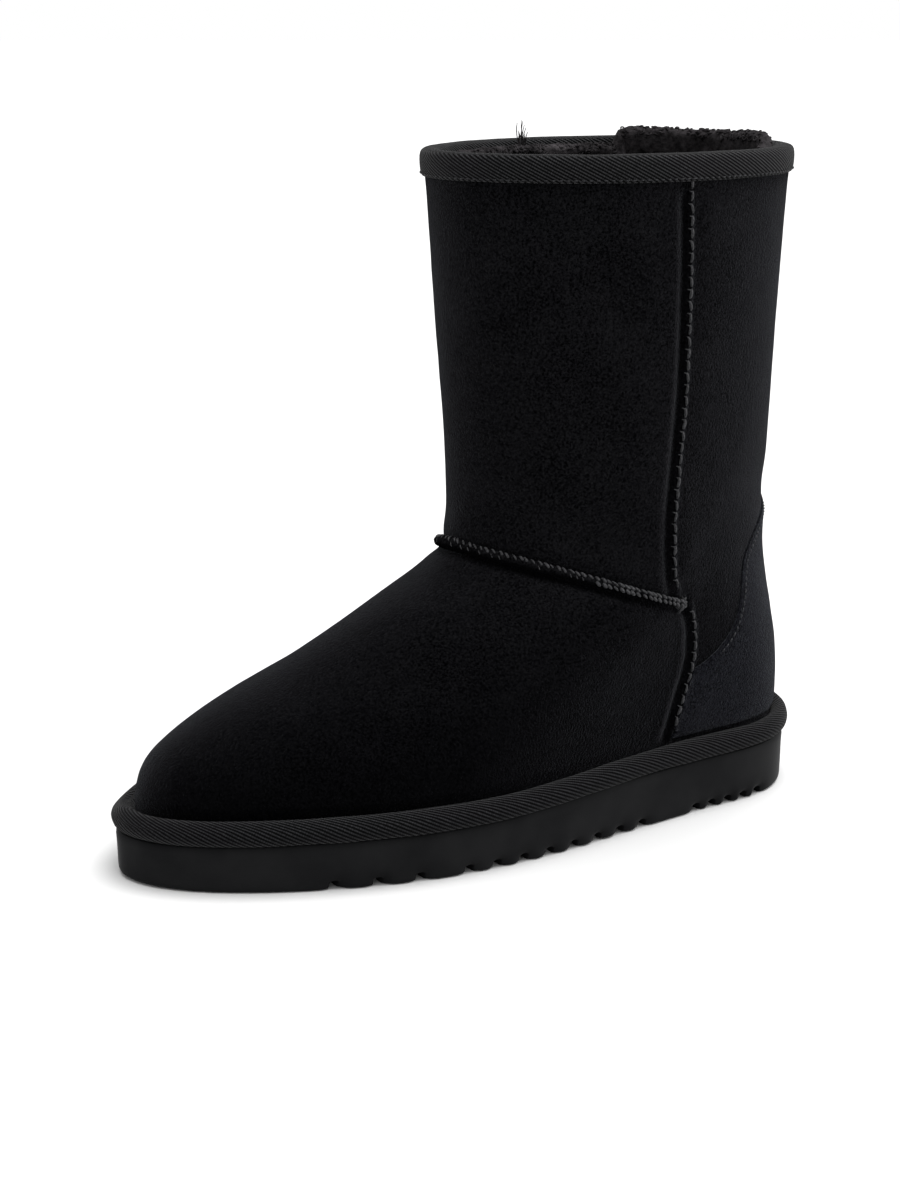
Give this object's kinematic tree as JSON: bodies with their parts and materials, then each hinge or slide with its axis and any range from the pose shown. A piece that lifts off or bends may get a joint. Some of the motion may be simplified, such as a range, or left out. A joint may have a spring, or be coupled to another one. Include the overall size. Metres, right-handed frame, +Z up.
{
  "type": "sheepskin boot",
  "caption": "Pull-on sheepskin boot for the left foot: suede upper with wool inside, taped collar and welt, suede heel counter and a light foam outsole.",
  "frame": {"origin": "on the ground, under the middle of the boot's box", "axes": "+X to the toe, +Y to the wearer's left (the outer side of this left foot), +Z up"},
  "size_m": [0.2756, 0.113, 0.2444],
  "materials": {
    "foam": "matte moulded foam, softly pebbled",
    "tape": "herringbone twill tape",
    "suede": "brushed black suede with a short nap",
    "counter_suede": "brushed suede, a shade cooler and lighter",
    "thread": "twisted sewing thread",
    "wool": "dense clipped wool"
  },
  "bodies": {
    "root": {"outsole": "foam", "welt": "tape", "upper": "suede", "collar_binding": "tape", "heel_counter": "counter_suede", "insole": "wool"}
  },
  "joints": []
}
